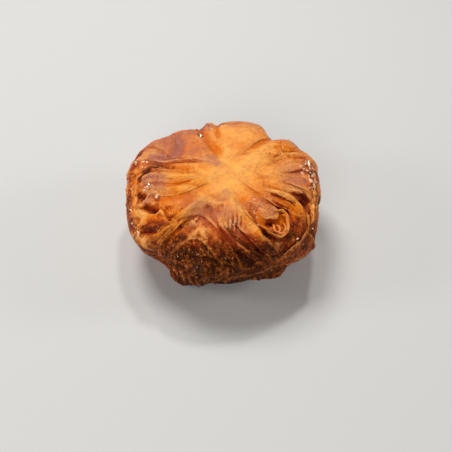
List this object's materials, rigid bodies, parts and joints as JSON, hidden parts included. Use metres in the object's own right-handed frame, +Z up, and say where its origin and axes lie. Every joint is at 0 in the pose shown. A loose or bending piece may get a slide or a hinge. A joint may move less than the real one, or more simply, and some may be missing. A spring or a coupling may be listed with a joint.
{
  "type": "kouign amann",
  "caption": "Round laminated butter cake with folds gathered to the middle of its top, a rolled rosette at one side and a flat underside.",
  "frame": {"origin": "middle of the flat underside, where the cake stands", "axes": "+Z up through the middle of the top, -Y towards the layered shell at the front, +X to the right with the rosette between +X and -Y"},
  "size_m": [0.0981, 0.0976, 0.0471],
  "materials": {
    "crust": "baked and caramelised dough: amber on the raised folds, red brown to near black in the creases and at the foot, under a thin uneven glaze",
    "sugar": "coarse pale sugar crystals, clear at the edges",
    "caramel": "set caramel, glossy and dark amber"
  },
  "bodies": {
    "root": {"pastry": "crust"}
  },
  "joints": []
}
